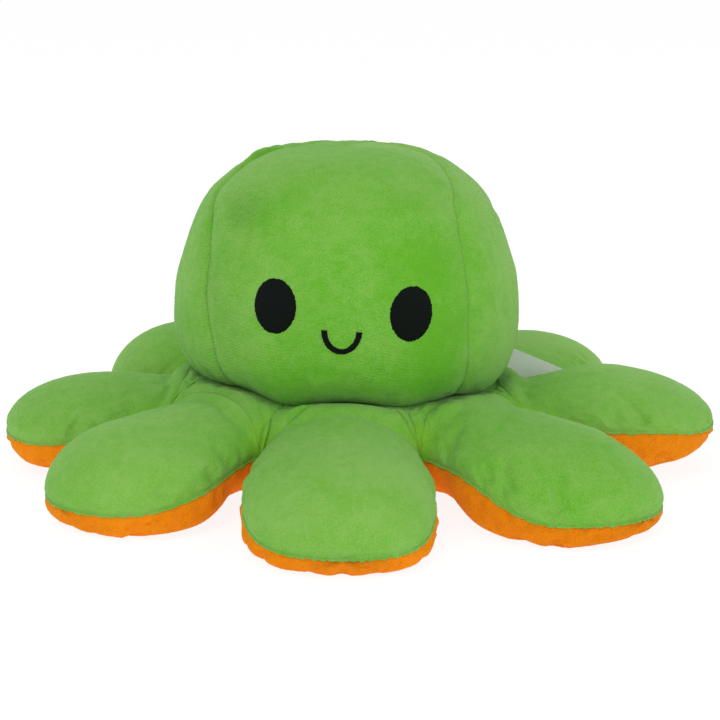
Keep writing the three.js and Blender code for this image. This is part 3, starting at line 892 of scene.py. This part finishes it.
# The pocket lining: four orange gores inside the head, open at the mouth below. They are sewn like
# the green ones, and the stuffing between the two makes the head's thick wall.
pocket_outline = [
    (34, 7), (34.2, 17), (35, 27), (37, 39.6), (37.8, 51.2), (35.9, 64.6), (29.5, 75.9),
    (18.9, 82.7), (7.6, 85.1), (0, 85.4),
]
lining_seams = [-55, 45, 130, 220, 305]
lining_groove = 0.8
lining_fall = 6
pocket_curve = smooth_curve(pocket_outline)
for index, name in enumerate(gore_names):
    share, across = np.meshgrid(np.linspace(0, 1, 41), np.linspace(-1, 1, 25), indexing="ij")
    angle = np.radians(mix(lining_seams[index], lining_seams[index + 1], (across + 1) / 2))
    groove = lining_groove * np.abs(across) ** lining_fall * smooth(share / 0.06)
    rows = [on_outline(pocket_curve, angle, share, -inset) for inset in (groove, groove + 1)]
    grid, deeper = (finer(row, 2, 2) for row in rows)
    into = unit(deeper - grid)
    seams = {"first": (seam_depth, mouth_into(grid[0]))}
    seams["left"], seams["right"] = (seam_depth, into[:, 0]), (seam_depth, into[:, -1])
    grid = turned_in(drawn_in(grid, -1, seams), seams)
    lining = cloth_mesh(f"lining_{name}_gore", grid, -1, orange_plush)
    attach(lining, "head")
    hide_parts(f"lining_{name}_panel")

# Stuffing: loose white polyester fibre in the head's wall, in the ring and in each leg. It lies
# just inside the skins, and none of it shows.
skin_depth = 3
leg_skin_depth = 2
fibre, nodes, links, shader = new_material("white fibre", {
    "Base Color": (0.85, 0.84, 0.8, 1), "Roughness": 1, "Sheen Weight": 0.4,
})
tufts = add_node(nodes, "ShaderNodeTexNoise", {"Scale": 500, "Detail": 6})
rest = add_node(nodes, "ShaderNodeAttribute", attribute_name="rest")
links.new(rest.outputs["Vector"], tufts.inputs["Vector"])
add_relief(nodes, links, shader, tufts.outputs["Fac"], 1, 0.001)


def stuffing(name, rows):
    """A lump of fibre from rows of points that run round it."""
    unevenness = 0.12
    grid = rows + chance.normal(0, unevenness, rows.shape)
    piece = cloth_mesh(name, grid, 1, fibre, closed=True)
    return piece


# The head's stuffing lies deeper at the neck, where the seam draws the skin in.
whole_turn = np.radians(np.linspace(0, 360, 96, endpoint=False))[None, :]
outer_shares = np.linspace(0.04, 1, 40)[:, None]
outer_depth = skin_depth + 2.5 * between(outer_shares, 0.2, 0.08)
outer = on_outline(head_curve, whole_turn, outer_shares, outer_depth)
inner = on_outline(pocket_curve, whole_turn, np.linspace(1, 0.27, 30)[:, None], -skin_depth)
head_stuffing = stuffing("head_stuffing", np.concatenate([outer, inner, outer[:1]]))
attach(head_stuffing, "head")
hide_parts("head_filling")
ring_upper = ring_upper - outward(ring_upper, -1, True) * skin_depth
ring_lower = ring_lower - outward(ring_lower, 1, True) * skin_depth
wall_turn = np.arctan2(ring_lower[0, :, 0], -ring_lower[0, :, 1])[None, :]
wall_shares = np.array([0.06, 0.14, 0.2])[:, None]
wall = on_outline(pocket_curve, wall_turn, wall_shares, -skin_depth)
rows = np.concatenate([ring_lower[1:-1][::-1], wall, ring_upper[1:-1], ring_lower[-2:-1]])
ring_stuffing = stuffing("ring_stuffing", rows)
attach(ring_stuffing, "head")
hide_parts("ring_filling")
for index, name in enumerate(leg_names):
    halves = []
    for surface, side in ((leg_top, -1), (leg_bottom, 1)):
        columns = []
        for t in width_shares[::2] * 0.9:
            path = surface(index, t, leg_distances(index))
            columns.append(along_curve(path, np.linspace(0.02, 0.94, 16)))
        half = np.stack(columns, 1)
        halves.append(half - outward(half, side) * leg_skin_depth)
    around = np.concatenate([halves[0], halves[1][:, ::-1]], 1)
    root, tip = (np.broadcast_to(row.mean(0), (1, *row.shape)) for row in (around[0], around[-1]))
    leg_stuffing = stuffing(f"leg_stuffing_{name}", np.concatenate([root, around, tip]))
    bend_with(leg_stuffing)
    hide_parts(f"leg_filling_{name}")

# Faces: two oval eyes and a curved mouth in satin stitch, worked in near-black thread on the front
# gore. The lining has the same face with its mouth turned down, for when the toy is turned out.
face_height = 58.4
lining_face_height = 50
face_tilt = math.radians(3)
face_aside = 0.6
eye_spacing = 39.4
eye_width = 12.8
eye_height = 15.6
mouth_width = 9.8
mouth_depth = 5.8
mouth_drop = 5.2
mouth_stroke = 1.65
# How far the stitches stand out of the cloth, and how uneven their ends are.
stitch_lift = 0.6
eye_unevenness = 0.012
mouth_unevenness = 0.07
thread, nodes, links, shader = new_material("near-black thread", {
    "Base Color": (0.003, 0.005, 0.004, 1), "Roughness": 0.7, "Specular IOR Level": 0.06,
})
uv = add_node(nodes, "ShaderNodeUVMap", uv_map="cloth")
strands = {"Scale": 900, "Distortion": 0.8}
strands = add_node(nodes, "ShaderNodeTexWave", strands, bands_direction="Y")
links.new(uv.outputs["UV"], strands.inputs["Vector"])
add_relief(nodes, links, shader, strands.outputs["Fac"], 0.6, 0.0002)


def on_face(curve, middle_height, across, up, lift):
    """A place on the front of an outline, measured along the cloth from the middle of the face."""
    x = across * math.cos(face_tilt) + up * math.sin(face_tilt)
    y = up * math.cos(face_tilt) - across * math.sin(face_tilt)
    shares, lower = np.linspace(0, 1, len(curve)), len(curve) // 2
    length = np.linalg.norm(np.diff(curve, axis=0), axis=1).sum()
    share = np.interp(middle_height, curve[:lower, 1], shares[:lower]) + y / length
    radius = np.interp(share, shares, curve[:, 0])
    return on_outline(curve, (x + face_aside) / radius, share, -lift)


def stitched(name, surface, across, up, lift, side):
    """Stitches on the cloth, with their UVs laid flat."""
    piece = cloth_mesh(name, on_face(*surface, across, up, lift), side, thread)
    corner = np.zeros(len(piece.data.loops), int)
    piece.data.loops.foreach_get("vertex_index", corner)
    flat = np.stack([across.ravel(), up.ravel()], 1)[corner] * MILLIMETRE
    piece.data.uv_layers["cloth"].data.foreach_set("uv", flat.ravel())
    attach(piece, "head")
    return piece


# Base and sunk are how far the stitches' foot and their turned-in edge lie from the outline.
for prefix, surface, way, base, sunk in (
    ("", (head_curve, face_height), 1, 0.15, -1.2),
    ("lining_", (pocket_curve, lining_face_height), -1, 0.9, -0.4),
):
    for place, sign in (("left", -1), ("right", 1)):
        turn = np.linspace(0, 2 * np.pi, 181)[None, :]
        ring = np.append(np.linspace(0, 1, 16), 1)[:, None]
        jag = 1 + eye_unevenness * chance.normal(0, 1, turn.shape) * ring**8
        jag[:, -1] = jag[:, 0]
        across = sign * eye_spacing / 2 + eye_width / 2 * ring * jag * np.cos(turn)
        up = eye_height / 2 * ring * jag * np.sin(turn)
        lift = base + stitch_lift * (1 - ring**6) + 0 * turn
        lift[-1] = sunk
        eye = stitched(f"{prefix}eye_{place}_stitches", surface, across, up, way * lift, -way)
        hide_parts(f"{prefix}eye_{place}")
    share = np.linspace(0, 1, 81)[:, None]
    over = np.concatenate([[-1], np.linspace(-1, 1, 13), [1]])[None, :]
    jag = 1 + mouth_unevenness * chance.normal(0, 1, share.shape) * np.abs(over) ** 3
    out = mouth_stroke / 2 * over * jag
    across = -(mouth_width / 2 + out) * np.cos(np.pi * share)
    ends = mouth_drop if way > 0 else mouth_drop + mouth_depth
    up = -ends - way * (mouth_depth + out) * np.sin(np.pi * share)
    lift = base + 0.55 * (1 - np.abs(over) ** 4) + 0 * share
    lift[:, [0, -1]] = sunk
    mouth = stitched(f"{prefix}mouth_stitches", surface, across, up, way * lift, 1)
    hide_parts(f"{prefix}mouth")

# Label: a white satin ribbon folded in two, sewn into the neck seam between two legs at the right
# rear. It stands on edge there, and is left bare.
label_direction = math.radians(112.5)
label_width = 14
label_length = 35
label_slope = math.radians(25)
label_top = (50.2, 33.7)
label_gap = 0.28
label_wave = 0.35
satin, nodes, links, shader = new_material("white satin", {
    "Base Color": (0.66, 0.7, 0.68, 1), "Roughness": 0.42, "Anisotropic": 0.5,
})
uv = add_node(nodes, "ShaderNodeUVMap", uv_map="cloth")
weave = {"Scale": 1400, "Distortion": 0.5}
weave = add_node(nodes, "ShaderNodeTexWave", weave, bands_direction="X")
links.new(uv.outputs["UV"], weave.inputs["Vector"])
add_relief(nodes, links, shader, weave.outputs["Fac"], 0.35, 0.0001)
run = np.linspace(-1, 1, 121)[:, None]
below = np.linspace(0, 1, 29)[None, :]
out = label_length * (1 - np.abs(run))
opened = np.sqrt(np.clip(1 - (1 - np.minimum(np.abs(run) / 0.02, 1)) ** 2, 0, 1))
wave = label_wave * np.sin(np.pi * out / label_length) * np.sin(2.2 * below + 0.4)
sideways = label_gap * np.sign(run) * opened + wave
outwards, downwards = math.cos(label_slope), math.sin(label_slope)
distance = label_top[0] + out * outwards - label_width * below * downwards
height = label_top[1] - out * downwards - label_width * below * outwards
x = distance * math.sin(label_direction) + sideways * math.cos(label_direction)
y = -distance * math.cos(label_direction) + sideways * math.sin(label_direction)
label = cloth_mesh("folded_label", np.stack(np.broadcast_arrays(x, y, height), -1), 1, satin)
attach(label, "head")
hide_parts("label")

# The studio: a plain white floor and soft light from the front, with the camera a little above.
# The floor and the air round it show white to the camera, and keep the toy's faint shadow.
floor_half_width = 3
air_light = 0.7
world = bpy.data.worlds.new("studio")
bpy.context.scene.world = world
world.use_nodes = True
nodes, links = world.node_tree.nodes, world.node_tree.links
background = nodes["Background"]
background.inputs["Color"].default_value = (1, 1, 1, 1)
rays = add_node(nodes, "ShaderNodeLightPath")
seen = add_node(nodes, "ShaderNodeMath", operation="MAXIMUM")
links.new(rays.outputs["Is Camera Ray"], seen.inputs[0])
links.new(rays.outputs["Is Glossy Ray"], seen.inputs[1])
strength = add_node(nodes, "ShaderNodeMix", {2: air_light, 3: 1}, data_type="FLOAT")
links.new(seen.outputs[0], strength.inputs[0])
links.new(strength.outputs[0], background.inputs["Strength"])

floor_mesh = bpy.data.meshes.new("floor")
corners = np.array([(-1, -1, 0), (1, -1, 0), (1, 1, 0), (-1, 1, 0)], float)
floor_mesh.from_pydata(corners * floor_half_width, [], [(0, 1, 2, 3)])
floor = bpy.data.objects.new("floor", floor_mesh)
bpy.context.collection.objects.link(floor)
floor_paint, nodes, links, _ = new_material("floor", {})
nodes.clear()
# The floor lights the toy with the first pair of values, and looks like the second to the camera.
shaders = []
for grey, glow in ((0.75, 0.6), (0.165, 0.875)):
    bounce = add_node(nodes, "ShaderNodeBsdfDiffuse", {"Color": (grey, grey, grey, 1)})
    shine = add_node(nodes, "ShaderNodeEmission", {"Strength": glow})
    both = add_node(nodes, "ShaderNodeAddShader")
    links.new(bounce.outputs[0], both.inputs[0])
    links.new(shine.outputs[0], both.inputs[1])
    shaders.append(both)
rays = add_node(nodes, "ShaderNodeLightPath")
choice = add_node(nodes, "ShaderNodeMixShader")
links.new(rays.outputs["Is Camera Ray"], choice.inputs[0])
links.new(shaders[0].outputs[0], choice.inputs[1])
links.new(shaders[1].outputs[0], choice.inputs[2])
output = add_node(nodes, "ShaderNodeOutputMaterial")
links.new(choice.outputs[0], output.inputs["Surface"])
floor_mesh.materials.append(floor_paint)


lit_place = Vector((0, 0, 0.04))
for name, place, size, power in (
    ("soft_front", (-0.3, -0.75, 0.85), 0.8, 4.3),
    ("soft_right", (0.7, -0.5, 0.4), 0.6, 1.7),
    ("soft_back", (-0.2, 0.9, 0.6), 0.8, 2.4),
):
    lamp = bpy.data.lights.new(name, "AREA")
    lamp.shape = "DISK"
    lamp.size = size
    lamp.energy = power
    light = bpy.data.objects.new(name, lamp)
    light.location = place
    light.rotation_euler = (lit_place - Vector(place)).to_track_quat("-Z", "Y").to_euler()
    bpy.context.collection.objects.link(light)

camera_distance = 0.6
camera_data = bpy.data.cameras.new("camera")
camera_data.lens = 97.5
camera_data.sensor_width = 36
camera = bpy.data.objects.new("camera", camera_data)
aim = Vector((0, 0, 0.032))
elevation, azimuth = math.radians(14), math.radians(1.5)
level = math.cos(elevation)
direction = Vector((math.sin(azimuth) * level, -math.cos(azimuth) * level, math.sin(elevation)))
camera.location = aim + direction * camera_distance
camera.rotation_euler = (-direction).to_track_quat("-Z", "Y").to_euler()
bpy.context.collection.objects.link(camera)
bpy.context.scene.camera = camera
bpy.context.scene.view_settings.view_transform = "Standard"
